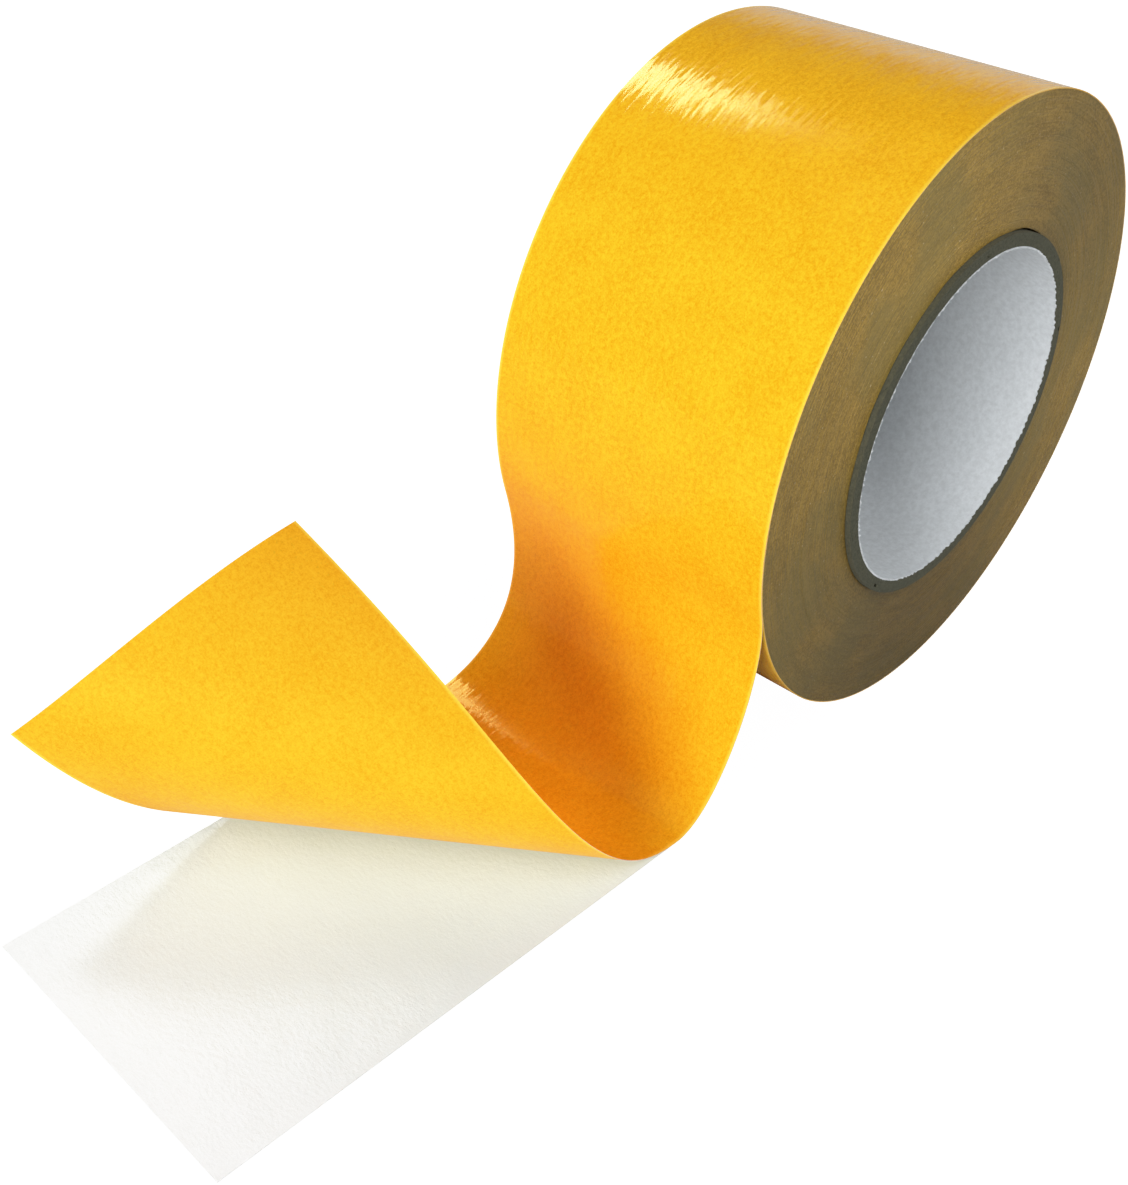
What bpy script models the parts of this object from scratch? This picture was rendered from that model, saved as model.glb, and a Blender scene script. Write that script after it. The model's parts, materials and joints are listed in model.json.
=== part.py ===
"""Roll of double-sided adhesive tape on a paper core, its tail laid out and its liner peeled.

The roll lies on its tread. Its axis is the Y axis, the origin is the centre of the tape's width
on that axis, and +Z is up. The tail leaves the roll on the -X side, bends onto the ground and
runs toward -X. The release liner is peeled back from the laid tail in a curl.

Everything wound or laid is built from one kind of body: a layer between two matching grids of
points, a low one and a high one, so that stacked layers follow each other exactly.
"""

import math
from collections import namedtuple

import bmesh
import bpy
from mathutils import Quaternion, Vector

MM = 0.001

# ---------------------------------------------------------------- colours and roughnesses
Finish = namedtuple("Finish", "colour roughness")
LINER_YELLOW = Finish((0.83, 0.50, 0.02), 0.35)
FLAP_YELLOW = Finish((0.90, 0.56, 0.03), 0.5)
ADHESIVE_WHITE = Finish((0.86, 0.84, 0.76), 0.2)
CARRIER_WHITE = Finish((0.90, 0.89, 0.85), 0.6)
PACK_OLIVE = Finish((0.20, 0.14, 0.05), 0.6)
BOARD_GREY = Finish((0.10, 0.08, 0.06), 0.9)
KRAFT_BROWN = Finish((0.26, 0.19, 0.12), 0.75)
LINING_WHITE = Finish((0.80, 0.80, 0.79), 0.55)

# ---------------------------------------------------------------- driving dimensions
CORE_BORE_RADIUS = 38.0 * MM
CORE_PROUD = 1.2 * MM  # the core stands out of the near side by this much
ROLL_RADIUS = 69.8 * MM
TAPE_WIDTH = 72.4 * MM

Layer = namedtuple("Layer", "name thickness finish")

# The core's plies, from the bore outward.
BOARD_PLIES = 4
BOARD_PLY_THICKNESS = 0.675 * MM
CORE_PLIES = (
    Layer("core_white_lining", 0.40 * MM, LINING_WHITE),
    *(Layer(f"core_board_ply_{k + 1}", BOARD_PLY_THICKNESS, BOARD_GREY) for k in range(BOARD_PLIES)),
    Layer("core_kraft_wrap", 0.20 * MM, KRAFT_BROWN),
)
PLY_GAP = 0.02 * MM
PLY_PITCH = 109.0 * MM  # climb of a ply's seam in one turn
SEAM_SLIT = 0.3 * MM
SEAM_STAGGER = math.radians(137.5)
SEAM_TIP = 0.6 * MM  # height at which a ply's pointed corner is trimmed

# The tape's own layers, from the face that meets the roll or the ground outward.
WEB = (
    Layer("inner_adhesive", 0.045 * MM, ADHESIVE_WHITE),
    Layer("carrier", 0.030 * MM, CARRIER_WHITE),
    Layer("outer_adhesive", 0.045 * MM, ADHESIVE_WHITE),
    Layer("release_liner", 0.070 * MM, LINER_YELLOW),
)
WEB_GAP = 0.010 * MM
PACK_GAP = 0.05 * MM

# The laid tail, in its own directions: along it from the peel corner, and across it.
STRIP_SKEW = math.radians(-2.42)
STRIP_LENGTH = 118.0 * MM
PEEL_CORNER_X = -88.0 * MM
PEEL_CORNER_Y = -34.94 * MM
TOUCH_NEAR = -1.8 * MM  # where the span reaches the ground, along the tail, at the near edge
TOUCH_FAR = 7.4 * MM
HINGE_GAP = 0.3 * MM

# The span from roll to ground, as one curve along each edge. Angles are below the -X point.
Edge = namedtuple("Edge", "leaves_at roll_handle ground_handle")
NEAR_EDGE = Edge(math.radians(16.0), 17.0 * MM, 13.2 * MM)
FAR_EDGE = Edge(math.radians(17.6), 43.0 * MM, 14.0 * MM)
SPAN_CLEARANCE = 0.3 * MM  # from the roll's flat sides, so the span also clears its corners

# The peeled liner bends as a cone whose apex lies on the fold line, beyond the near edge.
FOLD_ANGLE = math.radians(35.2)
APEX_DISTANCE = 102.0 * MM
FOLD_BEND_RADIUS = 13.8 * MM
CURL_REACH = 53.3 * MM
CURL_STEP = 0.5 * MM
CURL_LIMIT = 140.0 * MM

# ---------------------------------------------------------------- resolution
ROUND_SIDES = 48
SPAN_COLUMNS = 18
SPAN_ROWS = 6
FLAP_COLUMNS = 24
FLAP_ROWS = 10
FLAP_SPACING = 1.3  # above 1, columns crowd toward the fold
SLOPE_STEP = 1e-4  # share of the span over which its slopes are taken
SHARP_ANGLE = math.radians(30.0)

UP = Vector((0.0, 0.0, 1.0))
GROUND = -ROLL_RADIUS
CORE_THICKNESS = sum(ply.thickness for ply in CORE_PLIES) + (len(CORE_PLIES) - 1) * PLY_GAP
CORE_RADIUS = CORE_BORE_RADIUS + CORE_THICKNESS
WEB_THICKNESS = sum(layer.thickness for layer in WEB) + (len(WEB) - 1) * WEB_GAP
NEAR_FACE = -TAPE_WIDTH / 2
FAR_FACE = TAPE_WIDTH / 2

ALONG = Vector((-math.cos(STRIP_SKEW), -math.sin(STRIP_SKEW), 0.0))
ACROSS = Vector((-math.sin(STRIP_SKEW), math.cos(STRIP_SKEW), 0.0))
PEEL_CORNER = Vector((PEEL_CORNER_X, PEEL_CORNER_Y, GROUND))
FOLD_LINE = ALONG * math.sin(FOLD_ANGLE) + ACROSS * math.cos(FOLD_ANGLE)
FOLD_SLOPE = math.tan(FOLD_ANGLE)

Hinge = namedtuple("Hinge", "empty place")


def clear_scene():
    for item in list(bpy.data.objects):
        bpy.data.objects.remove(item)


# ---------------------------------------------------------------- materials and bodies
def make_material(name, finish):
    material = bpy.data.materials.new(name)
    material.use_nodes = True
    shader = material.node_tree.nodes["Principled BSDF"]
    shader.inputs["Base Color"].default_value = (*finish.colour, 1.0)
    shader.inputs["Roughness"].default_value = finish.roughness
    shader.inputs["Metallic"].default_value = 0.0
    return material


def add_hinge(name, place, parent=None):
    """Empty on a joint's axis that carries the pieces turning about it."""
    empty = bpy.data.objects.new(name, None)
    bpy.context.scene.collection.objects.link(empty)
    empty.location = place
    if parent:
        empty.parent = parent.empty
        empty.location = place - parent.place
    return Hinge(empty, place)


def rim_loop(columns, rows):
    """Grid indices around an open sheet's border, in order."""
    last_column = columns - 1
    last_row = rows - 1
    loop = [(i, 0) for i in range(last_column)]
    loop += [(last_column, j) for j in range(last_row)]
    loop += [(i, last_row) for i in range(last_column, 0, -1)]
    loop += [(0, j) for j in range(last_row, 0, -1)]
    return loop


def add_face_pair(mesh, low, high, corners):
    mesh.faces.new([high[i][j] for i, j in corners])
    mesh.faces.new([low[i][j] for i, j in reversed(corners)])


def add_layer(name, low_grid, high_grid, finish, hinge, closed=False):
    """One closed body between two grids of points indexed [column][row].

    A closed layer joins its last column to its first, as a sleeve does. Both faces of a cell
    are split along the same diagonal, so that layers stacked on a twisted sheet stay apart.
    """
    mesh = bmesh.new()
    low = [[mesh.verts.new(p - hinge.place) for p in column] for column in low_grid]
    high = [[mesh.verts.new(p - hinge.place) for p in column] for column in high_grid]
    columns = len(low)
    rows = len(low[0])
    for i in range(columns if closed else columns - 1):
        after = (i + 1) % columns
        for j in range(rows - 1):
            add_face_pair(mesh, low, high, [(i, j), (after, j), (after, j + 1)])
            add_face_pair(mesh, low, high, [(i, j), (after, j + 1), (i, j + 1)])
    if closed:
        rims = [[(i, 0) for i in range(columns)], [(i, rows - 1) for i in range(columns)]]
    else:
        rims = [rim_loop(columns, rows)]
    for rim in rims:
        for (i, j), (k, m) in zip(rim, rim[1:] + rim[:1]):
            mesh.faces.new([low[i][j], low[k][m], high[k][m], high[i][j]])
    bmesh.ops.recalc_face_normals(mesh, faces=mesh.faces)
    add_body(name, mesh, finish, hinge)


def add_body(name, mesh, finish, hinge):
    data = bpy.data.meshes.new(name)
    mesh.to_mesh(data)
    mesh.free()
    data.shade_smooth()
    data.set_sharp_from_angle(angle=SHARP_ANGLE)
    data.materials.append(make_material(name, finish))
    body = bpy.data.objects.new(name, data)
    bpy.context.scene.collection.objects.link(body)
    body.parent = hinge.empty


# ---------------------------------------------------------------- round layers
SIDE = math.tau / ROUND_SIDES
FIRST_CORNER = SIDE / 2  # puts a flat side at the very bottom, for the roll to rest on


def on_roll(radius, angle, y):
    """Point on the many-sided prism whose flat sides are at this radius."""
    from_flat = (angle - FIRST_CORNER) % SIDE - SIDE / 2
    reach = radius / math.cos(from_flat)
    return Vector((reach * math.cos(angle), y, reach * math.sin(angle)))


def add_sleeve(name, inner, outer, near, far, finish, hinge):
    """Closed ring of full turns between two radii."""
    angles = [FIRST_CORNER + k * SIDE for k in range(ROUND_SIDES)]
    low = [[on_roll(inner, angle, y) for y in (near, far)] for angle in angles]
    high = [[on_roll(outer, angle, y) for y in (near, far)] for angle in angles]
    add_layer(name, low, high, finish, hinge, closed=True)


def ply_outline(radius, length):
    """Columns (angle, bottom, top) of a helical ply, unrolled: a parallelogram trimmed by
    the core's two ends. Heights are from the near end."""
    climb = PLY_PITCH / math.tau
    slit = SEAM_SLIT / radius
    turn = math.tau - slit
    first = SEAM_TIP / climb
    last = turn + (length - SEAM_TIP) / climb
    corners = [first, length / climb, turn, last]
    corners += [k * SIDE for k in range(math.ceil(first / SIDE), math.floor(last / SIDE) + 1)]
    outline = []
    for angle in sorted(set(corners)):
        bottom = max(0.0, (angle - turn) * climb)
        top = min(length, angle * climb)
        outline.append((angle, bottom, top))
    return outline


def add_ply(ply, inner, seam_steps, hinge):
    """Spiral-wound ply whose seam starts a whole number of sides around the core."""
    outer = inner + ply.thickness
    near = NEAR_FACE - CORE_PROUD
    start = FIRST_CORNER + seam_steps * SIDE
    low = []
    high = []
    for angle, bottom, top in ply_outline(inner, TAPE_WIDTH):
        ends = (near + bottom, near + top)
        low.append([on_roll(inner, start + angle, y) for y in ends])
        high.append([on_roll(outer, start + angle, y) for y in ends])
    add_layer(ply.name, low, high, ply.finish, hinge)


def add_core(hinge):
    """Plies from the bore outward: white lining, board plies, kraft wrap."""
    radius = CORE_BORE_RADIUS
    for k, ply in enumerate(CORE_PLIES):
        add_ply(ply, radius, round(k * SEAM_STAGGER / SIDE), hinge)
        radius += ply.thickness + PLY_GAP


def web_layers():
    """Each of the tape's layers with its low and high offset, from its inner face."""
    layers = []
    offset = 0.0
    for layer in WEB:
        layers.append((layer, offset, offset + layer.thickness))
        offset += layer.thickness + WEB_GAP
    return layers


def add_wound_tape(hinge):
    """The wound turns as one ring, and the outermost full turn layer by layer."""
    turn_face = ROLL_RADIUS - WEB_THICKNESS
    inner = CORE_RADIUS + PACK_GAP
    outer = turn_face - WEB_GAP
    add_sleeve("wound_tape_pack", inner, outer, NEAR_FACE, FAR_FACE, PACK_OLIVE, hinge)
    for layer, low, high in web_layers():
        radii = (turn_face + low, turn_face + high)
        name = "outer_turn_" + layer.name
        add_sleeve(name, *radii, NEAR_FACE, FAR_FACE, layer.finish, hinge)


# ---------------------------------------------------------------- the tail
def on_ground(along, across, height=0.0):
    return PEEL_CORNER + ALONG * along + ACROSS * across + UP * height


def touch_along(across):
    """Where the tail meets the ground, along it, at this distance across it."""
    return TOUCH_NEAR + (TOUCH_FAR - TOUCH_NEAR) * across / TAPE_WIDTH


def mix(a, b, share):
    return a + (b - a) * share


def span_point(share_down, share_across):
    """Point on the inner face of the span: a cubic curve from roll to ground."""
    edge = Edge(*(mix(a, b, share_across) for a, b in zip(NEAR_EDGE, FAR_EDGE)))
    angle = math.pi + edge.leaves_at
    radius = ROLL_RADIUS + SPAN_CLEARANCE
    outward = Vector((math.cos(angle), 0.0, math.sin(angle)))
    start = outward * radius + Vector((0.0, mix(NEAR_FACE, FAR_FACE, share_across), 0.0))
    downward = Vector((-math.sin(angle), 0.0, math.cos(angle)))
    across = share_across * TAPE_WIDTH
    end = on_ground(touch_along(across) - HINGE_GAP, across)
    second = start + downward * edge.roll_handle
    third = end - ALONG * edge.ground_handle
    t = share_down
    s = 1.0 - t
    return s**3 * start + 3 * s * s * t * second + 3 * s * t * t * third + t**3 * end


def span_normal(share_down, share_across):
    """Outward direction of the span, from its slopes along and across."""
    down_low = max(0.0, share_down - SLOPE_STEP)
    down_high = min(1.0, share_down + SLOPE_STEP)
    across_low = max(0.0, share_across - SLOPE_STEP)
    across_high = min(1.0, share_across + SLOPE_STEP)
    down = span_point(down_high, share_across) - span_point(down_low, share_across)
    across = span_point(share_down, across_high) - span_point(share_down, across_low)
    return across.cross(down).normalized()


def add_span(hinge):
    """The free tape between the roll and the ground, layer by layer."""
    downs = [i / SPAN_COLUMNS for i in range(SPAN_COLUMNS + 1)]
    acrosses = [j / SPAN_ROWS for j in range(SPAN_ROWS + 1)]
    face = [[span_point(u, v) for v in acrosses] for u in downs]
    normals = [[span_normal(u, v) for v in acrosses] for u in downs]

    def offset_grid(offset):
        rows = range(SPAN_ROWS + 1)
        return [[face[i][j] + normals[i][j] * offset for j in rows] for i in range(len(downs))]

    for layer, low, high in web_layers():
        grids = (offset_grid(low), offset_grid(high))
        add_layer("span_" + layer.name, *grids, layer.finish, hinge)


def flat_grid(start_near, start_far, end_near, end_far, height):
    corners = ((start_near, start_far), (end_near, end_far))
    return [[on_ground(near, 0.0, height), on_ground(far, TAPE_WIDTH, height)]
            for near, far in corners]


def add_laid_strip(hinge):
    """The tail on the ground: adhesive, carrier and adhesive, then the liner still stuck."""
    touch = (touch_along(0.0) + HINGE_GAP, touch_along(TAPE_WIDTH) + HINGE_GAP)
    fold_gap = HINGE_GAP / math.cos(FOLD_ANGLE)
    fold = (-fold_gap, TAPE_WIDTH * FOLD_SLOPE - fold_gap)
    names = {
        "inner_adhesive": "strip_ground_adhesive",
        "carrier": "strip_carrier",
        "outer_adhesive": "strip_top_adhesive",
        "release_liner": "strip_stuck_liner",
    }
    for layer, low, high in web_layers():
        end = fold if layer.name == "release_liner" else (STRIP_LENGTH, STRIP_LENGTH)
        grids = (flat_grid(*touch, *end, low), flat_grid(*touch, *end, high))
        add_layer(names[layer.name], *grids, layer.finish, hinge)


# ---------------------------------------------------------------- the peeled liner
def curl_frames():
    """Ruling and surface normal of the cone at each step of arc, measured at the apex
    distance. The ruling turns in the sheet, and the sheet curls about the ruling."""
    ruling = FOLD_LINE.copy()
    normal = UP.copy()
    frames = [(ruling.copy(), normal.copy())]
    for k in range(round(CURL_LIMIT / CURL_STEP)):
        arc = (k + 0.5) * CURL_STEP
        curl = math.exp(-((arc / CURL_REACH) ** 2)) / FOLD_BEND_RADIUS
        turn = ruling * curl + normal / APEX_DISTANCE
        rotation = Quaternion(turn.normalized(), turn.length * CURL_STEP)
        ruling = rotation @ ruling
        normal = rotation @ normal
        frames.append((ruling.copy(), normal.copy()))
    return frames


def curled_point(along, across, height, frames):
    """Place of a liner point, given where it lay before peeling."""
    from_fold = along * math.cos(FOLD_ANGLE) - across * math.sin(FOLD_ANGLE)
    down_fold = along * math.sin(FOLD_ANGLE) + across * math.cos(FOLD_ANGLE)
    reach = math.hypot(APEX_DISTANCE + down_fold, from_fold)
    arc = APEX_DISTANCE * math.atan2(from_fold, APEX_DISTANCE + down_fold)
    place = arc / CURL_STEP
    before = int(place)
    share = place - before
    ruling = frames[before][0].lerp(frames[before + 1][0], share)
    normal = frames[before][1].lerp(frames[before + 1][1], share)
    apex = PEEL_CORNER - FOLD_LINE * APEX_DISTANCE
    return apex + ruling * reach + normal * height


def add_flap(hinge):
    """The liner past the fold line, curled up and away from the laid strip."""
    frames = curl_frames()
    _, low, high = web_layers()[-1]
    gap = HINGE_GAP / math.cos(FOLD_ANGLE)

    def grid(height):
        columns = []
        for i in range(FLAP_COLUMNS + 1):
            share = (i / FLAP_COLUMNS) ** FLAP_SPACING
            column = []
            for j in range(FLAP_ROWS + 1):
                across = TAPE_WIDTH * j / FLAP_ROWS
                along = mix(across * FOLD_SLOPE + gap, STRIP_LENGTH, share)
                column.append(curled_point(along, across, height, frames))
            columns.append(column)
        return columns

    add_layer("liner_flap", grid(low), grid(high), FLAP_YELLOW, hinge)


def main():
    clear_scene()
    span = add_hinge("span_root", Vector())
    roll = add_hinge("roll_axis", Vector(), span)
    touch_middle = on_ground(touch_along(TAPE_WIDTH / 2), TAPE_WIDTH / 2)
    strip = add_hinge("touch_down_line", touch_middle, span)
    fold = add_hinge("fold_line", on_ground(0.0, 0.0), strip)
    add_core(roll)
    add_wound_tape(roll)
    add_span(span)
    add_laid_strip(strip)
    add_flap(fold)
    bpy.context.view_layer.update()


main()
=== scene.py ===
"""Looks of a roll of double-sided tape: its wound pack, paper core, laid tail and peeled liner.

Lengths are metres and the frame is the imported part's. The roll's axis is Y, the near side is
-Y, the tail runs toward -X and the ground is at the bottom of the roll.
"""

import json
import math

import bpy
import numpy as np
from mathutils import Matrix, Vector


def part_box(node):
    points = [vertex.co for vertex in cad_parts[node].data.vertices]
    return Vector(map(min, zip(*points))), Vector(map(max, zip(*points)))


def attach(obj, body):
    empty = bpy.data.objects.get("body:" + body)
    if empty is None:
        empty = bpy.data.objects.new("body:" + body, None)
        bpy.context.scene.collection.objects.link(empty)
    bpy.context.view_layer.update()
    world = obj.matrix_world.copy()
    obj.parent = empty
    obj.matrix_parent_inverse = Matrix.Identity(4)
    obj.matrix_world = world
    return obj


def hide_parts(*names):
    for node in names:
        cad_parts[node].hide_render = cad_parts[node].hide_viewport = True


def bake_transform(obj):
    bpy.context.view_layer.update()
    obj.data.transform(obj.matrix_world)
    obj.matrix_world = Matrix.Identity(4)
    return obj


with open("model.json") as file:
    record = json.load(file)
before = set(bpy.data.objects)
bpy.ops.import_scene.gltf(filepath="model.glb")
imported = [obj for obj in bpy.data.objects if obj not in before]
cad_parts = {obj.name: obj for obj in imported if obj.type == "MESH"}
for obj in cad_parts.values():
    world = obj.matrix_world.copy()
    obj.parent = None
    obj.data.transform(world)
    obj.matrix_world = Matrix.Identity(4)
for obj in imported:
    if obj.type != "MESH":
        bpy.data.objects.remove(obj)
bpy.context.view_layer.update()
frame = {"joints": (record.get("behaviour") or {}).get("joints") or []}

MM = 0.001
SHARP_ANGLE = math.radians(40.0)
JOINTS = {joint["name"]: joint for joint in frame["joints"]}

# ---------------------------------------------------------------- sizes read from the frame
NEAR_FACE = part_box("wound_tape_pack")[0].y
FAR_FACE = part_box("wound_tape_pack")[1].y
TAPE_WIDTH = FAR_FACE - NEAR_FACE
PACK_RADIUS = -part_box("wound_tape_pack")[0].z
ROLL_RADIUS = -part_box("outer_turn_release_liner")[0].z
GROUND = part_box("strip_ground_adhesive")[0].z
CORE_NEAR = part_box("core_white_lining")[0].y
CORE_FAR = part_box("core_white_lining")[1].y
CORE_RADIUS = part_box("core_kraft_wrap")[1].z
PEEL_CORNER = np.array(JOINTS["liner_peel"]["pos_m"])
FOLD_LINE = np.array(JOINTS["liner_peel"]["axis"])
UP = np.array((0.0, 0.0, 1.0))

# The tape's layers, from the face that meets the roll or the ground outward.
STRIP_NODES = {
    "inner_adhesive": "strip_ground_adhesive",
    "carrier": "strip_carrier",
    "outer_adhesive": "strip_top_adhesive",
    "release_liner": "strip_stuck_liner",
}
WEB = {
    layer: (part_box(node)[0].z - GROUND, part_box(node)[1].z - GROUND)
    for layer, node in STRIP_NODES.items()
}
WEB_THICKNESS = WEB["release_liner"][1]

# ---------------------------------------------------------------- shape of the tail
STRIP_SKEW = math.radians(-2.42)
ALONG = np.array((-math.cos(STRIP_SKEW), -math.sin(STRIP_SKEW), 0.0))
ACROSS = np.array((-math.sin(STRIP_SKEW), math.cos(STRIP_SKEW), 0.0))
STRIP_LENGTH = 118.0 * MM
TOUCH_NEAR = -1.8 * MM
TOUCH_FAR = 7.4 * MM
FOLD_ANGLE = math.radians(35.2)
APEX_DISTANCE = 102.0 * MM
FOLD_BEND_RADIUS = 13.8 * MM
CURL_REACH = 53.3 * MM
CURL_STEP = 0.25 * MM
CURL_LIMIT = 140.0 * MM
# Each edge of the span: where it leaves the roll below the -X point, then its two handles.
SPAN_NEAR = (math.radians(16.0), 17.0 * MM, 13.2 * MM)
SPAN_FAR = (math.radians(17.6), 43.0 * MM, 14.0 * MM)
TONGUE_TOP = math.radians(-30.0)  # the tail's feathered start, above the -X point
TONGUE_LIFT = 0.01 * MM
TONGUE_TIP = 0.02  # share of the tape's thickness at the feathered start
# Points across the tail, and along each stretch of it.
TAIL_ROWS = 73
TONGUE_COLUMNS = 40
SPAN_COLUMNS = 110
FLAP_COLUMNS = 170


# ---------------------------------------------------------------- meshes
def new_object(name, vertices, faces, loop_uvs=None):
    """Smooth-shaded object from arrays, with its web coordinates as a UV map."""
    data = bpy.data.meshes.new(name)
    data.from_pydata(vertices.tolist(), [], faces.tolist())
    if loop_uvs is not None:
        layer = data.uv_layers.new(name="web")
        layer.data.foreach_set("uv", loop_uvs.astype(np.float32).ravel())
    data.shade_smooth()
    data.set_sharp_from_angle(angle=SHARP_ANGLE)
    item = bpy.data.objects.new(name, data)
    bpy.context.scene.collection.objects.link(item)
    return item


def sheet(name, low, high, uv, closed=False):
    """Closed thin body between two grids of points [column][row], with its web coordinates.

    uv is per grid point, in metres. A closed sheet has one more column of uv than of points,
    because its last column meets its first.
    """
    columns, rows = low.shape[:2]
    count = columns * rows
    vertices = np.concatenate((low.reshape(-1, 3), high.reshape(-1, 3)))
    cells = columns if closed else columns - 1
    i, j = np.meshgrid(np.arange(cells), np.arange(rows - 1), indexing="ij")
    i, j = i.ravel(), j.ravel()
    corner_i = np.stack((i, i + 1, i + 1, i), 1)
    corner_j = np.stack((j, j, j + 1, j + 1), 1)
    borders = rim_cells(cells, rows, closed)
    rim_i = np.array([[a, c, c, a] for a, b, c, d in borders])
    rim_j = np.array([[b, d, d, b] for a, b, c, d in borders])

    def index(ci, cj):
        return (ci % columns) * rows + cj

    top = index(corner_i, corner_j) + count
    bottom = index(corner_i, corner_j)[:, ::-1]
    rim = index(rim_i, rim_j) + np.array((0, 0, count, count))
    faces = np.concatenate((top, bottom, rim))
    u_i = np.concatenate((corner_i, corner_i[:, ::-1], rim_i))
    u_j = np.concatenate((corner_j, corner_j[:, ::-1], rim_j))
    loop_uvs = uv[u_i, u_j].reshape(-1, 2)
    if not faces_point_out(vertices, top, high, low):
        faces = faces[:, ::-1]
        loop_uvs = uv[u_i[:, ::-1], u_j[:, ::-1]].reshape(-1, 2)
    item = new_object(name, vertices, faces, loop_uvs)
    item["rim_faces"] = len(rim)
    return item


def rim_cells(cells, rows, closed):
    """Border edges of a grid as (column, row, next column, next row), in order."""
    last = rows - 1
    near = [(k, 0, k + 1, 0) for k in range(cells)]
    far = [(k + 1, last, k, last) for k in range(cells)]
    if closed:
        return near + far
    end = [(cells, k, cells, k + 1) for k in range(last)]
    start = [(0, k + 1, 0, k) for k in range(last)]
    return near + far + end + start


def faces_point_out(vertices, faces, high, low):
    """Whether the high faces' winding agrees with the way from low to high."""
    middle = len(faces) // 2
    a, b, c, d = vertices[faces[middle]]
    normal = np.cross(c - a, d - b)
    columns, rows = high.shape[:2]
    outward = (high - low)[columns // 2, rows // 2]
    return float(normal @ outward) > 0.0


def smooth_noise(size, waves, seed, power=1.0):
    """Periodic noise over a circle of samples: sines of rising frequency and random phase."""
    rng = np.random.default_rng(seed)
    angle = np.arange(size) * math.tau / size
    total = np.zeros(size)
    for wave in waves:
        total += rng.normal() * np.sin(wave * angle + rng.uniform(0, math.tau)) / wave**power
    return total / np.abs(total).max()


# ---------------------------------------------------------------- the tail's path
def mix(a, b, share):
    return a + (b - a) * share


def on_ground(along, across):
    along, across = np.broadcast_arrays(along, across)
    return PEEL_CORNER + along[..., None] * ALONG + across[..., None] * ACROSS


def touch_along(across):
    return mix(TOUCH_NEAR, TOUCH_FAR, across / TAPE_WIDTH)


def fold_along(across):
    return across * math.tan(FOLD_ANGLE)


def split_along(across):
    """Where the stuck liner is cut in two, between touch-down and fold."""
    return mix(touch_along(across), fold_along(across), 0.5)


def roll_point(angle, y, radius):
    """Point on the roll, its angle measured downward from the -X point."""
    return np.stack(
        np.broadcast_arrays(-radius * np.cos(angle), y, -radius * np.sin(angle)), -1
    )


def span_points(downs, shares):
    """The span's inner face: a cubic curve from roll to ground for each share across."""
    leaves, roll_handle, ground_handle = (
        mix(a, b, shares)[None, :, None] for a, b in zip(SPAN_NEAR, SPAN_FAR)
    )
    y = mix(NEAR_FACE, FAR_FACE, shares)[None, :]
    start = roll_point(leaves[..., 0], y, ROLL_RADIUS + TONGUE_LIFT)
    tangent = np.concatenate((np.sin(leaves), leaves * 0, -np.cos(leaves)), -1)
    across = shares * TAPE_WIDTH
    end = on_ground(touch_along(across), across)[None]
    second = start + tangent * roll_handle
    third = end - ALONG * ground_handle
    t = downs[:, None, None]
    s = 1.0 - t
    return s**3 * start + 3 * s * s * t * second + 3 * s * t * t * third + t**3 * end


def tail_face(shares, ground_end, ground_columns):
    """Inner face of the tail from its feathered start on the roll to ground_end(across).

    Returns the grid of points and, for each point, the share of the full thickness there.
    """
    y = mix(NEAR_FACE, FAR_FACE, shares)[None, :]
    leaves = mix(SPAN_NEAR[0], SPAN_FAR[0], shares)[None, :]
    wind = np.linspace(0.0, 1.0, TONGUE_COLUMNS, endpoint=False)[:, None]
    tongue = roll_point(mix(TONGUE_TOP, leaves, wind), y, ROLL_RADIUS + TONGUE_LIFT)
    span = span_points(np.linspace(0.0, 1.0, SPAN_COLUMNS), shares)
    across = (shares * TAPE_WIDTH)[None, :]
    reach = np.linspace(0.0, 1.0, ground_columns + 1)[1:, None]
    laid = on_ground(mix(touch_along(across), ground_end(across), reach), across)
    face = np.concatenate((tongue, span, laid))
    thickness = np.ones(face.shape[:2])
    thickness[:TONGUE_COLUMNS] = mix(TONGUE_TIP, 1.0, wind)
    return face, thickness


def face_normals(face):
    """Outward directions of the tail's face, from its slopes along and across."""
    along = np.gradient(face, axis=0)
    across = np.gradient(face, axis=1)
    normal = np.cross(across, along)
    return normal / np.linalg.norm(normal, axis=-1, keepdims=True)


def web_uv(face, shares):
    """Distance along the tape from the feathered start, and distance across it."""
    steps = np.linalg.norm(np.diff(face, axis=0), axis=-1)
    along = np.concatenate((np.zeros((1, face.shape[1])), np.cumsum(steps, axis=0)))
    across = np.broadcast_to(shares * TAPE_WIDTH, along.shape)
    return np.stack((along + TONGUE_TOP * ROLL_RADIUS, across), -1)


# ---------------------------------------------------------------- the peeled liner's cone
def turned(vector, axis, angle):
    """vector turned about a unit axis."""
    c, s = math.cos(angle), math.sin(angle)
    return vector * c + np.cross(axis, vector) * s + axis * (axis @ vector) * (1 - c)


def curl_frames():
    """Rulings and normals of the cone at each step of arc at the apex distance."""
    step = CURL_STEP
    ruling, normal = FOLD_LINE / np.linalg.norm(FOLD_LINE), UP
    rulings, normals = [ruling], [normal]
    for k in range(round(CURL_LIMIT / step)):
        arc = (k + 0.5) * step
        curl = math.exp(-((arc / CURL_REACH) ** 2)) / FOLD_BEND_RADIUS
        turn = ruling * curl + normal / APEX_DISTANCE
        rate = np.linalg.norm(turn)
        ruling = turned(ruling, turn / rate, rate * step)
        normal = turned(normal, turn / rate, rate * step)
        rulings.append(ruling)
        normals.append(normal)
    return np.array(rulings), np.array(normals)


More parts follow.
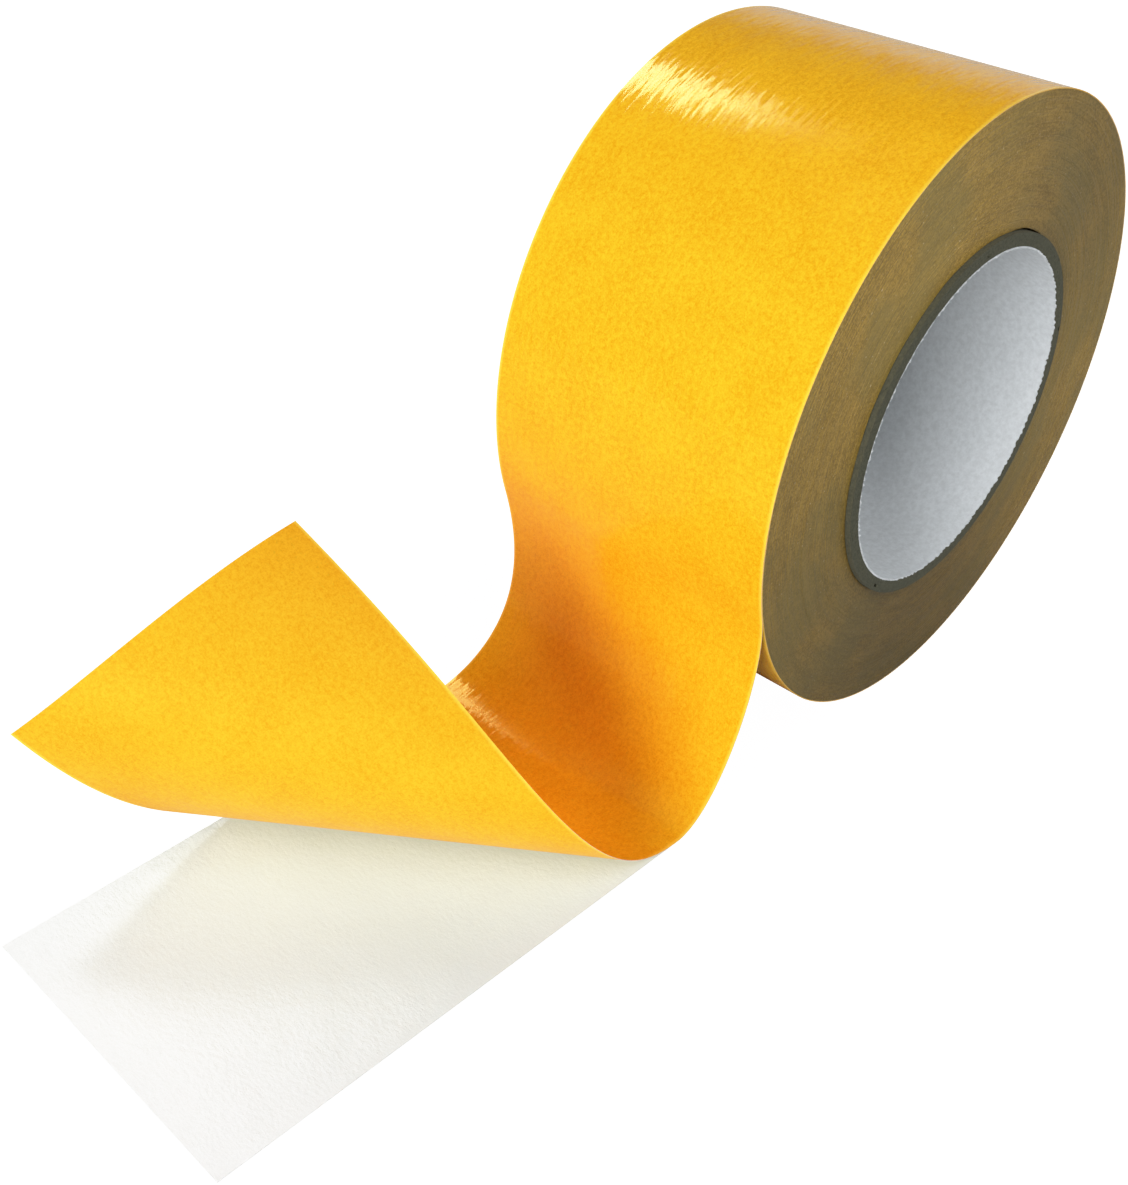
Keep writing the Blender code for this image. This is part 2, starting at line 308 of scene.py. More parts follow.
def curled(along, across):
    """Places and normals of liner points, given where they lay before peeling."""
    rulings, normals = curl_frames()
    from_fold = along * math.cos(FOLD_ANGLE) - across * math.sin(FOLD_ANGLE)
    down_fold = along * math.sin(FOLD_ANGLE) + across * math.cos(FOLD_ANGLE)
    reach = np.hypot(APEX_DISTANCE + down_fold, from_fold)
    place = APEX_DISTANCE * np.arctan2(from_fold, APEX_DISTANCE + down_fold) / CURL_STEP
    place = np.clip(place, 0, None)
    stations = np.arange(len(rulings))
    ruling = np.stack([np.interp(place, stations, rulings[:, k]) for k in range(3)], -1)
    normal = np.stack([np.interp(place, stations, normals[:, k]) for k in range(3)], -1)
    apex = PEEL_CORNER - FOLD_LINE * APEX_DISTANCE
    peeled = apex + ruling * reach[..., None]
    flat = on_ground(along, across)
    stuck = (from_fold <= 0)[..., None]
    return np.where(stuck, flat, peeled), np.where(stuck, UP, normal)


# ---------------------------------------------------------------- node helpers
class Graph:
    """Short names for building a node material."""

    def __init__(self, name):
        self.material = bpy.data.materials.new(name)
        self.material.use_nodes = True
        self.tree = self.material.node_tree
        self.shader = self.tree.nodes["Principled BSDF"]

    def node(self, kind, **settings):
        item = self.tree.nodes.new(kind)
        for key, value in settings.items():
            setattr(item, key, value)
        return item

    def feed(self, socket, value):
        if isinstance(value, bpy.types.NodeSocket):
            self.tree.links.new(value, socket)
        else:
            socket.default_value = value

    def maths(self, operation, *values):
        item = self.node("ShaderNodeMath", operation=operation)
        for socket, value in zip(item.inputs, values):
            self.feed(socket, value)
        return item.outputs[0]

    def web(self):
        """The piece's web coordinates, in millimetres."""
        source = self.node("ShaderNodeUVMap", uv_map="web").outputs[0]
        return self.scaled(source, (1000.0, 1000.0, 1000.0))

    def place(self):
        """The piece's own coordinates, in millimetres."""
        source = self.node("ShaderNodeTexCoord").outputs["Object"]
        return self.scaled(source, (1000.0, 1000.0, 1000.0))

    def scaled(self, vector, factors):
        item = self.node("ShaderNodeVectorMath", operation="MULTIPLY")
        self.feed(item.inputs[0], vector)
        self.feed(item.inputs[1], factors)
        return item.outputs[0]

    def noise(self, vector, scale, detail=2.0, roughness=0.5):
        """Noise around one half. scale is features per unit, detail its finer octaves."""
        item = self.node("ShaderNodeTexNoise")
        self.feed(item.inputs["Vector"], vector)
        item.inputs["Scale"].default_value = scale
        item.inputs["Detail"].default_value = detail
        item.inputs["Roughness"].default_value = roughness
        return item.outputs["Fac"]

    def ranged(self, value, low, high, new_low, new_high):
        item = self.node("ShaderNodeMapRange")
        self.feed(item.inputs[0], value)
        for socket, number in zip(item.inputs[1:5], (low, high, new_low, new_high)):
            self.feed(socket, number)
        return item.outputs[0]

    def blended(self, share, first, second):
        item = self.node("ShaderNodeMix", data_type="RGBA")
        self.feed(item.inputs[0], share)
        self.feed(item.inputs[6], first)
        self.feed(item.inputs[7], second)
        return item.outputs[2]

    def bump(self, height, distance, normal=None):
        item = self.node("ShaderNodeBump")
        item.inputs["Strength"].default_value = 1.0
        item.inputs["Distance"].default_value = distance
        self.feed(item.inputs["Height"], height)
        if normal is not None:
            self.feed(item.inputs["Normal"], normal)
        return item.outputs[0]

    def combed(self, lines, lean):
        """Normal leaning to and fro along the tape by a noise, as rubbed paper does."""
        along = self.node("ShaderNodeTangent", direction_type="UV_MAP", uv_map="web").outputs[0]
        amount = self.maths("MULTIPLY", self.maths("SUBTRACT", lines, 0.5), lean)
        item = self.node("ShaderNodeVectorMath", operation="SCALE")
        self.feed(item.inputs[0], along)
        self.feed(item.inputs["Scale"], amount)
        total = self.node("ShaderNodeVectorMath", operation="ADD")
        self.feed(total.inputs[0], item.outputs[0])
        self.feed(total.inputs[1], self.node("ShaderNodeNewGeometry").outputs["Normal"])
        unit = self.node("ShaderNodeVectorMath", operation="NORMALIZE")
        self.feed(unit.inputs[0], total.outputs[0])
        return unit.outputs[0]

    def set(self, **values):
        """Feeds the shader's inputs, each named with _ for its spaces."""
        for name, value in values.items():
            self.feed(self.shader.inputs[name.replace("_", " ")], value)


def colour(red, green, blue):
    return (red, green, blue, 1.0)


# ---------------------------------------------------------------- materials
def liner_material(name, base, deep, painted_bounce, roughness, lean, glow=0.0):
    """Siliconised yellow paper: fibre mottling, cloudiness and a combed sheen along the web.

    The bounce colour is painted light: the paper shows it only to bounced light, in place of its
    own colour, so it paints that colour into the shade around it.
    lean is how strong the combing is, and glow is a painted orange glow that the paper sends only
    onto its surroundings, for light shining through the thin paper.
    """
    g = Graph(name)
    web = g.web()
    grain = g.noise(web, 0.9, detail=4.0, roughness=0.65)
    cloud = g.noise(web, 0.09, detail=3.0)
    fibres = g.noise(web, 2.4, detail=2.0, roughness=0.8)
    specks = g.noise(web, 1.5, detail=1.0)
    share = g.maths("MULTIPLY_ADD", cloud, 0.14, g.maths("MULTIPLY", fibres, 0.46))
    share = g.maths("MULTIPLY_ADD", grain, 0.40, share)
    paper = g.blended(g.ranged(share, 0.40, 0.58, 0.0, 1.0), deep, base)
    paper = g.blended(g.ranged(specks, 0.62, 0.74, 0.0, 0.35), paper, SPECK_OLIVE)
    split = g.node("ShaderNodeSeparateXYZ")
    g.feed(split.inputs[0], web)
    across = split.outputs[1]
    to_edge = g.maths("MINIMUM", across, g.maths("SUBTRACT", TAPE_WIDTH / MM, across))
    # painted light: a lighter lemon band along both edges of the face, where the thin cut edges
    # catch light
    paper = g.blended(g.ranged(to_edge, 0.2, 0.8, 0.55, 0.0), paper, LEMON_EDGE_PAINTED_LIGHT)
    bounced = g.node("ShaderNodeLightPath").outputs["Is Diffuse Ray"]
    # painted light: bounced rays see the bounce colour in place of the paper's own, which paints it
    # into the nearby shade
    g.set(Base_Color=g.blended(bounced, paper, painted_bounce))
    # painted glow: orange light the paper sends only to bounced rays, standing in for light shining
    # through it
    g.set(Emission_Color=PAINTED_GLOW_ORANGE, Emission_Strength=g.maths("MULTIPLY", bounced, glow))
    lines = g.noise(g.scaled(web, (0.15, 1.25, 1.0)), 1.0, detail=2.0, roughness=0.6)
    g.set(Roughness=g.ranged(lines, 0.3, 0.7, roughness - 0.04, roughness + 0.04))
    normal = g.bump(grain, 0.008 * MM, normal=g.combed(lines, lean))
    g.set(Normal=normal, Specular_IOR_Level=0.55, Specular_Tint=colour(1.0, 0.80, 0.12))
    return g.material


def adhesive_material(name, base, end):
    """Soft glossy adhesive with a dimpled skin, of colour base, and with painted light: it lightens
    to colour end toward the strip's end, where the strip lies lit.
    """
    g = Graph(name)
    web = g.web()
    dimples = g.noise(g.scaled(web, (0.9, 0.6, 1.0)), 1.0, detail=4.0, roughness=0.7)
    swell = g.noise(web, 0.12, detail=1.0)
    pores = g.noise(web, 2.2, detail=2.0, roughness=0.8)
    normal = g.bump(dimples, 0.12 * MM)
    normal = g.bump(swell, 0.16 * MM, normal=normal)
    split = g.node("ShaderNodeSeparateXYZ")
    g.feed(split.inputs[0], g.place())
    corner = PEEL_CORNER[0] / MM
    # painted light: lighter toward the strip's end, where the strip lies in full light
    away = g.ranged(split.outputs[0], corner - 55.0, corner - 112.0, 0.0, 1.0)
    skin = g.blended(away, base, end)
    skin = g.blended(g.ranged(pores, 0.30, 0.62, 0.10, 0.0), skin, PORE_GREY)
    g.set(Base_Color=skin, Roughness=0.16, Normal=normal, Specular_IOR_Level=0.5)
    return g.material


def edge_material(name, stained, plain):
    """Cut edges of the tape: stained by the liner up to the peel corner, plain beyond it."""
    g = Graph(name)
    split = g.node("ShaderNodeSeparateXYZ")
    g.feed(split.inputs[0], g.place())
    corner = PEEL_CORNER[0] / MM
    share = g.ranged(split.outputs[0], corner - 4.0, corner + 2.0, 0.0, 1.0)
    g.set(Base_Color=g.blended(share, plain, stained), Roughness=0.5)
    return g.material


def paper_material(name, light, dark, scale):
    """Uncoated paper or board with fibre clouds."""
    g = Graph(name)
    place = g.place()
    fibre = g.noise(place, scale, detail=5.0, roughness=0.65)
    g.set(Base_Color=g.blended(g.ranged(fibre, 0.35, 0.65, 0.0, 1.0), dark, light))
    g.set(Roughness=0.8, Normal=g.bump(fibre, 0.03 * MM), Specular_IOR_Level=0.3)
    return g.material


def painted_shading_around(g, angle):
    """Painted light and shade on the side face around the roll, from three swells of different
    heading: lighter toward the top, darker toward the bottom.
    """
    total = 1.0
    for turns, heading, depth in ((1.0, 105.0, 0.32), (2.0, 151.0, 0.20), (3.0, 108.0, 0.10)):
        phase = g.maths("MULTIPLY_ADD", angle, turns, -turns * math.radians(heading))
        total = g.maths("MULTIPLY_ADD", g.maths("COSINE", phase), depth, total)
    return total


def pack_material(name):
    """Cut edges of the wound turns: thin rings of liner and adhesive, seen from the side."""
    g = Graph(name)
    place = g.place()
    split = g.node("ShaderNodeSeparateXYZ")
    g.feed(split.inputs[0], place)
    x, z = split.outputs[0], split.outputs[2]
    radius = g.maths("SQRT", g.maths("ADD", g.maths("MULTIPLY", x, x), g.maths("MULTIPLY", z, z)))
    angle = g.maths("ARCTAN2", z, x)
    rings = g.node("ShaderNodeCombineXYZ")
    g.feed(rings.inputs[0], radius)
    g.feed(rings.inputs[1], g.maths("MULTIPLY", angle, 9.0))
    fine = g.noise(rings.outputs[0], 2.2, detail=3.0, roughness=0.7)
    bundle = g.noise(rings.outputs[0], 0.35, detail=2.0)
    grain = g.noise(place, 2.2, detail=3.0, roughness=0.8)
    patch = g.noise(place, 0.05, detail=3.0)
    speck = g.noise(place, 1.3, detail=1.0)
    share = g.maths("MULTIPLY_ADD", fine, 0.22, g.maths("MULTIPLY", bundle, 0.16))
    share = g.maths("MULTIPLY_ADD", grain, 0.62, share)
    base = g.blended(g.ranged(share, 0.43, 0.57, 0.0, 1.0), PACK_DARK, PACK_LIGHT)
    base = g.blended(g.ranged(patch, 0.42, 0.62, 0.0, 0.45), base, PACK_OLIVE)
    base = g.blended(g.ranged(speck, 0.70, 0.76, 0.0, 0.55), base, PACK_SPECK)
    # painted light and shade: the side face's colour is scaled by its heading around the roll
    painted_shading = g.node("ShaderNodeVectorMath", operation="SCALE")
    g.feed(painted_shading.inputs[0], base)
    g.feed(painted_shading.inputs["Scale"], painted_shading_around(g, angle))
    normal = g.bump(share, 0.03 * MM)
    g.set(Base_Color=painted_shading.outputs[0], Roughness=0.5, Normal=normal, Specular_IOR_Level=0.3)
    return g.material


PACK_DARK = colour(0.174, 0.108, 0.017)
PACK_LIGHT = colour(0.320, 0.204, 0.040)
PACK_OLIVE = colour(0.158, 0.127, 0.038)
PACK_SPECK = colour(0.50, 0.42, 0.26)
LINER_YELLOW = (colour(0.87, 0.475, 0.016), colour(0.70, 0.315, 0.004))
FLAP_YELLOW = (colour(0.93, 0.470, 0.018), colour(0.77, 0.330, 0.005))
SPECK_OLIVE = colour(0.60, 0.36, 0.015)
# painted light on the paper's edges
LEMON_EDGE_PAINTED_LIGHT = colour(1.0, 0.72, 0.09)
PORE_GREY = colour(0.5, 0.52, 0.50)
# the adhesive's white, and the lighter white painted at the strip's end for its lit look
ADHESIVE_WHITE_AND_PAINTED_LIGHT = (colour(0.765, 0.805, 0.795), colour(0.985, 0.995, 0.99))
# colour of the painted glow that the flap's back sends onto the bend
PAINTED_GLOW_ORANGE = colour(1.0, 0.17, 0.0)
# painted light: colours the liner shows only to bounced light, deep orange for the shade in the
# bend and pale yellow for the strip under the flap
DEEP_PAINTED_BOUNCE = colour(1.0, 0.14, 0.0)
PALE_PAINTED_BOUNCE = colour(0.92, 0.80, 0.52)
GLOSSY = {"roughness": 0.145, "lean": 0.36}
SATIN = {"roughness": 0.45, "lean": 0.10}
LINER = liner_material("liner_face", *LINER_YELLOW, DEEP_PAINTED_BOUNCE, **GLOSSY)
FLAP_BACK = liner_material("flap_back", *LINER_YELLOW, DEEP_PAINTED_BOUNCE, **GLOSSY, glow=0.7)
FLAP_FACE = liner_material("flap_face", *FLAP_YELLOW, PALE_PAINTED_BOUNCE, **SATIN)
ADHESIVE = adhesive_material("adhesive", *ADHESIVE_WHITE_AND_PAINTED_LIGHT)
TISSUE_WHITES = (colour(0.88, 0.88, 0.85), colour(0.82, 0.82, 0.78))
BOARD_GREYS = (colour(0.095, 0.095, 0.060), colour(0.062, 0.064, 0.042))
KRAFT_GREYS = (colour(0.10, 0.098, 0.062), colour(0.066, 0.066, 0.044))
LINING_GREYS = (colour(0.66, 0.69, 0.71), colour(0.56, 0.585, 0.60))
STAIN = colour(0.90, 0.50, 0.05)
CARRIER = paper_material("carrier_tissue", *TISSUE_WHITES, scale=1.5)
EDGE = edge_material("cut_edge", colour(0.95, 0.66, 0.22), colour(0.80, 0.82, 0.80))
TURN_EDGE = edge_material("turn_edge", STAIN, STAIN)
BOARD = paper_material("core_board", *BOARD_GREYS, scale=1.8)
KRAFT = paper_material("kraft", *KRAFT_GREYS, scale=1.6)
LINING = paper_material("lining", *LINING_GREYS, scale=0.8)
PACK = pack_material("wound_edges")


def dress(item, material, slot, *nodes, under=None, edge=None):
    """Gives a piece its material, and its low face and its rim others where they differ."""
    materials = [material, under or material, edge or material]
    for entry in materials:
        item.data.materials.append(entry)
    rim = item.get("rim_faces", 0)
    quads = (len(item.data.polygons) - rim) // 2
    index = np.repeat((0, 1, 2), (quads, len(item.data.polygons) - rim - quads, rim))
    item.data.polygons.foreach_set("material_index", index.astype(np.int32))
    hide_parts(*nodes)


def bend_at_touch_down(item):
    """Bakes a piece's placement into its mesh."""
    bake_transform(item)


def build_tail():
    """Adhesives and carrier run to the strip's end, and the liner to the split line.

    Returns how far the liner's web coordinate runs ahead of the distance along the ground.
    """
    shares = np.linspace(0.0, 1.0, TAIL_ROWS)

    def strip_end(across):
        return np.full_like(across, STRIP_LENGTH)

    tape, tape_share = tail_face(shares, strip_end, ground_columns=100)
    tape_normals = face_normals(tape)
    tape_uv = web_uv(tape, shares)
    looks = {
        "inner_adhesive": ("tail_ground_adhesive", ADHESIVE, "adhesive"),
        "carrier": ("tail_carrier", CARRIER, "carrier"),
        "outer_adhesive": ("tail_top_adhesive", ADHESIVE, "adhesive"),
    }
    for layer, (name, material, slot) in looks.items():
        low, high = WEB[layer]
        offset = tape_normals * tape_share[..., None]
        item = sheet(name, tape + offset * low, tape + offset * high, tape_uv)
        dress(item, material, slot, "span_" + layer, STRIP_NODES[layer], edge=EDGE)
        bend_at_touch_down(item)

    liner, liner_share = tail_face(shares, split_along, ground_columns=24)
    offset = face_normals(liner) * liner_share[..., None]
    low, high = WEB["release_liner"]
    item = sheet("tail_liner", liner + offset * low, liner + offset * high, web_uv(liner, shares))
    dress(item, LINER, "liner", "span_release_liner", "strip_stuck_liner", edge=EDGE)
    bend_at_touch_down(item)
    return web_uv(liner, shares)[-1, :, 0] - split_along(shares * TAPE_WIDTH)


def build_flap(uv_shift):
    """The liner from the split line through the fold and up the curl."""
    shares = np.linspace(0.0, 1.0, TAIL_ROWS)
    across = (shares * TAPE_WIDTH)[None, :]
    reach = np.linspace(0.0, 1.0, FLAP_COLUMNS)[:, None]
    along = mix(split_along(across), STRIP_LENGTH, reach)
    across = np.broadcast_to(across, along.shape)
    face, normal = curled(along, across)
    low, high = WEB["release_liner"]
    uv = np.stack((along + uv_shift[None, :], across), -1)
    item = sheet("liner_flap_sheet", face + normal * low, face + normal * high, uv)
    dress(item, FLAP_BACK, "flap", "liner_flap", under=FLAP_FACE, edge=EDGE)
    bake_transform(item)


# ---------------------------------------------------------------- the roll
CORE_GAP = 0.06 * MM  # between the core's wrap and the first turn
LOOSE_GAP = 0.4 * MM  # how much wider that gap gets where the first turns are loose
CROWDED_DEPTH = 2.0 * MM  # the depth of turns that are pressed together by it
GROOVE_SHARE = 0.12  # the groove between two turns' edges, of one turn's thickness
SIDE_INSET = 0.03 * MM  # the turns' edges lie this far inside the pack's side faces
PLY_PITCH = 109.0 * MM  # climb of a core ply over one turn
PLY_STAGGER = math.radians(137.5)  # between the seams of two neighbouring plies
PLY_SLIT = 0.12 * MM
PLY_TIP = 0.6 * MM  # width of a ply's cut-off pointed ends
PLY_GAP = 0.02 * MM
PLY_RIM = 1.5 * MM  # the row of a ply's points next to its cut ends
LINING_THICKNESS = 0.4 * MM


def ring(name, inner, outer, near, far, segments):
    """Round sleeve with its web coordinates along the turn."""
    angle = np.arange(segments)[:, None] * math.tau / segments
    y = np.array([[near, far]])
    low = roll_point(angle, y, inner)
    high = roll_point(angle, y, outer)
    u = np.arange(segments + 1)[:, None] * math.tau * outer / segments
    uv = np.stack(np.broadcast_arrays(u, y - NEAR_FACE), -1)
    return sheet(name, low, high, uv, closed=True)


def build_outer_turn():
    segments = 360
    turn_face = ROLL_RADIUS - WEB_THICKNESS
    looks = {
        "inner_adhesive": (ADHESIVE, "adhesive"),
        "carrier": (CARRIER, "carrier"),
        "outer_adhesive": (ADHESIVE, "adhesive"),
        "release_liner": (LINER, "liner"),
    }
    for layer, (material, slot) in looks.items():
        low, high = WEB[layer]
        name = "turn_" + layer
        item = ring(name, turn_face + low, turn_face + high, NEAR_FACE, FAR_FACE, segments)
        dress(item, material, slot, "outer_turn_" + layer, edge=TURN_EDGE)
        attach(item, "roll")


def side_relief(radii, segments, seed):
    """How far each turn's edge stands out of the side face, turn by turn and around."""
    rng = np.random.default_rng(seed)
    turns = len(radii)
    steps = rng.normal(0.0, 0.006 * MM, turns)
    drift = np.convolve(rng.normal(0.0, 0.02 * MM, turns + 16), np.ones(17) / 17, "valid")
    ridges = (rng.random(turns) < 0.04) * rng.uniform(0.01, 0.04, turns) * MM
    level = steps + drift + ridges
    around = np.zeros((turns, segments))
    for k in range(turns):
        wave = smooth_noise(segments, (1, 2, 3, 5, 8), seed + k)
        around[k] = level[k] * (1.0 + 0.5 * wave)
    return around


def build_pack():
    """The wound turns as one ring whose two sides show every turn's cut edge."""
    segments = 192
    inner = CORE_RADIUS + CORE_GAP
    turns = int((PACK_RADIUS - inner) / WEB_THICKNESS)
    edges = np.linspace(inner, PACK_RADIUS, turns + 1)
    radii = np.sort(np.concatenate((edges[:-1] + GROOVE_SHARE * WEB_THICKNESS, edges[1:])))
    radii[-1] = PACK_RADIUS
    angle = np.arange(segments) * math.tau / segments
    loose = np.clip(smooth_noise(segments, (1, 2, 3, 5, 9, 17, 31), 7, power=0.5) + 0.15, 0.0, None)
    crowding = np.clip(1.0 - (radii - inner) / CROWDED_DEPTH, 0.0, 1.0)
    radii = radii[:, None] + crowding[:, None] * loose[None, :] * LOOSE_GAP

    def side(face, outward, seed):
        relief = np.repeat(side_relief(edges[:-1], segments, seed), 2, axis=0)
        y = face + outward * (relief - SIDE_INSET)
        return roll_point(angle[None, :], y, radii)

    near = side(NEAR_FACE, -1.0, 11)
    far = side(FAR_FACE, 1.0, 1011)
    profile = np.concatenate((near, far[::-1]))
    rows = len(profile)
    vertices = profile.reshape(-1, 3)
    i, j = np.meshgrid(np.arange(rows), np.arange(segments), indexing="ij")
    after_i, after_j = (i + 1) % rows, (j + 1) % segments
    faces = np.stack(
        [a * segments + b for a, b in ((i, j), (after_i, j), (after_i, after_j), (i, after_j))],
        -1,
    ).reshape(-1, 4)
    item = new_object("wound_turns", vertices, faces[:, ::-1])
    dress(item, PACK, "pack", "wound_tape_pack")
    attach(item, "roll")


def ply_columns(radius, columns):
    """Angles, lower ends and upper ends of a helical ply, unrolled."""
    length = CORE_FAR - CORE_NEAR
    climb = PLY_PITCH / math.tau
    turn = math.tau - PLY_SLIT / radius
    first = PLY_TIP / climb
    last = turn + (length - PLY_TIP) / climb
    angles = np.linspace(first, last, columns)
    corners = np.array((length / climb, turn))
    angles = np.sort(np.concatenate((angles, corners)))
    bottom = np.clip((angles - turn) * climb, 0.0, None)
    top = np.clip(angles * climb, None, length)
    return angles, bottom, top


def build_ply(node, inner, outer, seam_angle, material, slot, fray, seed):
    """One spiral-wound ply. fray is how far its two cut ends wander."""
    angles, bottom, top = ply_columns(outer, columns=1400)
    rng = np.random.default_rng(seed)
    length = CORE_FAR - CORE_NEAR
    wander = smooth_noise(len(angles), (5, 23, 61, 97, 131, 173, 211, 251), seed, power=0.2)
    nicks = rng.normal(0.0, 0.25, len(angles))
    fringe = fray * (wander + nicks)
    at_near = bottom <= 0.0
    at_far = top >= length
    inset = np.minimum(PLY_RIM, 0.3 * (top - bottom))
    levels = [
        bottom - np.where(at_near, fringe, 0.0),
        bottom + inset,
        top - inset,
        top + np.where(at_far, fringe, 0.0),
    ]
    y = CORE_NEAR + np.stack(levels, 1)
    angle = (angles + seam_angle)[:, None]
    low = roll_point(angle, y, inner)
    high = roll_point(angle, y, outer)
    uv = np.stack(np.broadcast_arrays(angle * outer, y - CORE_NEAR), -1)
    item = sheet(node + "_paper", low, high, uv)
    dress(item, material, slot, node)
    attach(item, "roll")


def build_core():
    names = ["core_white_lining"] + [f"core_board_ply_{k}" for k in range(1, 5)]
    names.append("core_kraft_wrap")
    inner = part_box(names[0])[1].z - LINING_THICKNESS
    for k, name in enumerate(names):
        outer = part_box(name)[1].z
        if k == 0:
            look = (LINING, "lining", 0.28 * MM)
        elif k < 5:
            look = (BOARD, "board", 0.04 * MM)
        else:
            look = (KRAFT, "kraft", 0.03 * MM)
        build_ply(name, inner, outer, k * PLY_STAGGER, *look, seed=50 + k)
        inner = outer + PLY_GAP


# ---------------------------------------------------------------- studio
WORLD_LIGHT = 0.25  # the walls' even light
HORIZON_LIGHT = 0.60  # the walls' light in the middle of their low glow
DARK_SHARE = 0.75  # how much of the walls' light their dark patch takes away
GLOW_TOWARD = (0.85, 0.51, 0.10)  # directions from the roll
DARK_TOWARD = (0.32, 0.55, 0.77)
SHOULDER_WHITE = 1.25  # the light that is shown as full white
FLOOR_GLOW = 1.5  # how bright the floor and the walls are to the camera
SHADOW_SHARE = 0.20  # how much of the floor's own shading the camera sees
FLOOR_REACH = 3.0
FLOOR_DROP = 0.02 * MM  # keeps the floor just clear of the tape
SOFTBOX_DISTANCE = 6.0
CAMERA_ANGLES = (47.99, 38.98, 1.84)  # heading from +Y toward +X, pitch down and roll, degrees
CAMERA_PLACE = (-4.0419, -2.3982, 2.3978)  # in roll radii
CAMERA_LENS = 46.69
CAMERA_SHIFT = (0.0281, 0.0614)


def build_floor():
    reach = FLOOR_REACH
    data = bpy.data.meshes.new("floor")
    corners = [(-reach, -reach, 0), (reach, -reach, 0), (reach, reach, 0), (-reach, reach, 0)]
    data.from_pydata(corners, [], [(0, 1, 2, 3)])
    floor = bpy.data.objects.new("floor", data)
    floor.location.z = GROUND - FLOOR_DROP
    bpy.context.scene.collection.objects.link(floor)
    g = Graph("floor_paper")
    g.set(Base_Color=colour(0.6, 0.6, 0.6), Roughness=0.9, Specular_IOR_Level=0.1)
    seen = g.node("ShaderNodeLightPath").outputs["Is Camera Ray"]
    bright = g.node("ShaderNodeEmission")
    bright.inputs["Strength"].default_value = FLOOR_GLOW
    mixer = g.node("ShaderNodeMixShader")
    g.feed(mixer.inputs[0], g.maths("MULTIPLY", seen, 1.0 - SHADOW_SHARE))
    g.feed(mixer.inputs[1], g.shader.outputs[0])
    g.feed(mixer.inputs[2], bright.outputs[0])
    g.feed(g.tree.nodes["Material Output"].inputs["Surface"], mixer.outputs[0])
    data.materials.append(g.material)


def add_softbox(name, heading, height, width, rise, light):
    """Distant rectangular light. Angles are degrees as seen from the roll.

    heading runs from +Y toward +X and light is what a white surface facing it would send back.
    """
    turn, lift = math.radians(heading), math.radians(height)
    away = Vector(
        (math.sin(turn) * math.cos(lift), math.cos(turn) * math.cos(lift), math.sin(lift))
    )
    lamp = bpy.data.lights.new(name, "AREA")
    lamp.shape = "RECTANGLE"
    lamp.size = 2.0 * SOFTBOX_DISTANCE * math.tan(math.radians(width / 2))
    lamp.size_y = 2.0 * SOFTBOX_DISTANCE * math.tan(math.radians(rise / 2))
    lamp.energy = light * (math.pi * SOFTBOX_DISTANCE) ** 2
    item = bpy.data.objects.new(name, lamp)
    item.location = away * SOFTBOX_DISTANCE
    item.rotation_euler = away.to_track_quat("Z", "Y").to_euler()
    bpy.context.scene.collection.objects.link(item)


def toward(tree, direction, start, end, low, high):
    """Value that runs from low to high as the view nears a direction, by its cosine."""
    view = tree.nodes.new("ShaderNodeTexCoord")
    cosine = tree.nodes.new("ShaderNodeVectorMath")
    cosine.operation = "DOT_PRODUCT"
    cosine.inputs[1].default_value = direction
    ramp = tree.nodes.new("ShaderNodeMapRange")
    ramp.interpolation_type = "SMOOTHSTEP"
    for socket, value in zip(ramp.inputs[1:5], (start, end, low, high)):
        socket.default_value = value
    tree.links.new(view.outputs["Generated"], cosine.inputs[0])
    tree.links.new(cosine.outputs["Value"], ramp.inputs[0])
    return ramp.outputs[0]


def studio_walls(tree):
    """The world's strength: even, brighter low behind the roll and dark above that glow."""
    glow = toward(tree, GLOW_TOWARD, 0.78, 1.0, WORLD_LIGHT, HORIZON_LIGHT)
    shade = toward(tree, DARK_TOWARD, 0.66, 0.88, 1.0, 1.0 - DARK_SHARE)
    product = tree.nodes.new("ShaderNodeMath")
    product.operation = "MULTIPLY"
    tree.links.new(glow, product.inputs[0])
    tree.links.new(shade, product.inputs[1])
    return product.outputs[0]


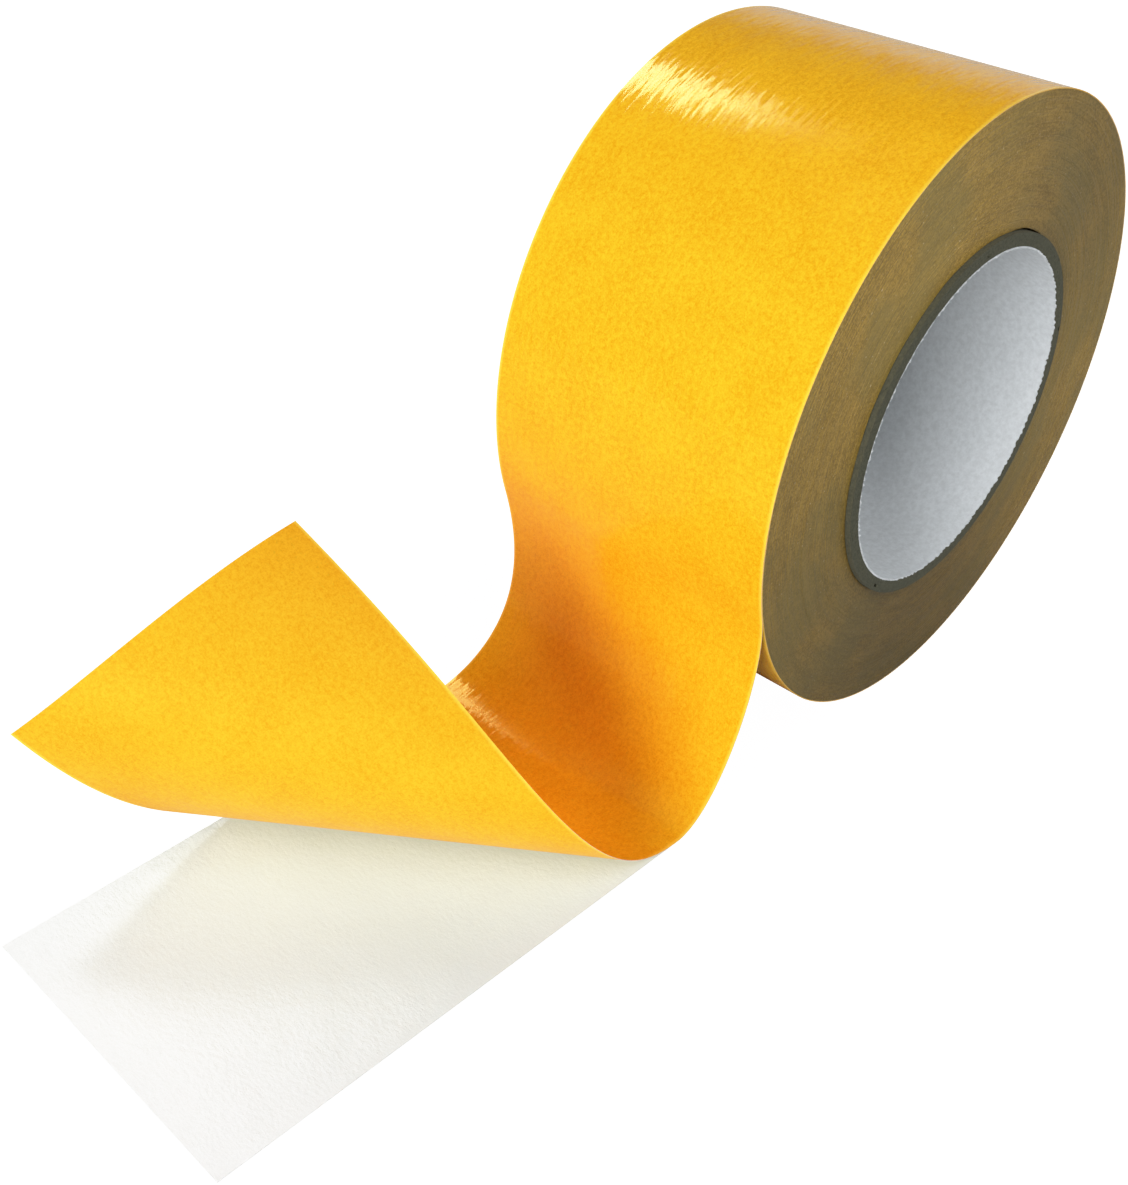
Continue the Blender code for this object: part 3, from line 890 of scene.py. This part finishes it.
def build_lights():
    world = bpy.data.worlds.new("studio")
    bpy.context.scene.world = world
    world.use_nodes = True
    tree = world.node_tree
    background = tree.nodes["Background"]
    path = tree.nodes.new("ShaderNodeLightPath")
    strength = tree.nodes.new("ShaderNodeMapRange")
    strength.inputs["To Max"].default_value = FLOOR_GLOW
    tree.links.new(path.outputs["Is Camera Ray"], strength.inputs["Value"])
    tree.links.new(studio_walls(tree), strength.inputs["To Min"])
    tree.links.new(strength.outputs[0], background.inputs["Strength"])
    background.inputs["Color"].default_value = colour(1.0, 1.0, 1.0)
    add_softbox("back_softbox", heading=21.5, height=49.5, width=10.0, rise=9.0, light=0.10)
    add_softbox("left_softbox", heading=-95.0, height=15.0, width=40.0, rise=24.0, light=1.13)
    add_softbox("top_softbox", heading=-100.0, height=78.0, width=60.0, rise=40.0, light=0.12)
    add_softbox("right_softbox", heading=95.0, height=22.0, width=50.0, rise=24.0, light=0.32)
    add_softbox("front_softbox", heading=165.0, height=50.0, width=50.0, rise=40.0, light=0.33)


def build_camera():
    """Looks down on the roll from the near left, with a slight roll."""
    heading, pitch, tilt = (math.radians(angle) for angle in CAMERA_ANGLES)
    forward = Vector(
        (
            math.sin(heading) * math.cos(pitch),
            math.cos(heading) * math.cos(pitch),
            -math.sin(pitch),
        )
    )
    level = Vector((math.cos(heading), -math.sin(heading), 0.0))
    upright = level.cross(forward)
    right = level * math.cos(tilt) + upright * math.sin(tilt)
    up = upright * math.cos(tilt) - level * math.sin(tilt)
    data = bpy.data.cameras.new("camera")
    data.sensor_width = 36.0
    data.lens = CAMERA_LENS
    data.shift_x, data.shift_y = CAMERA_SHIFT
    data.clip_start = 0.01
    camera = bpy.data.objects.new("camera", data)
    rotation = Matrix((right, up, -forward)).transposed()
    place = Vector(CAMERA_PLACE) * ROLL_RADIUS
    camera.matrix_world = Matrix.Translation(place) @ rotation.to_4x4()
    bpy.context.scene.collection.objects.link(camera)
    bpy.context.scene.camera = camera


def set_tones():
    """Plain display colours with a soft shoulder, as film has above three quarters white."""
    view = bpy.context.scene.view_settings
    view.view_transform = "Standard"
    view.use_curve_mapping = True
    mapping = view.curve_mapping
    mapping.white_level = (SHOULDER_WHITE,) * 3
    curve = mapping.curves[3]
    for light, shown in ((0.35, 0.35), (0.75, 0.75), (0.95, 0.915), (1.10, 0.975)):
        curve.points.new(light / SHOULDER_WHITE, shown)
    for point in curve.points:
        point.handle_type = "VECTOR" if point.location.y <= 0.5 else "AUTO_CLAMPED"
    mapping.update()


build_flap(build_tail())
build_outer_turn()
build_pack()
build_core()
build_floor()
build_lights()
build_camera()
set_tones()
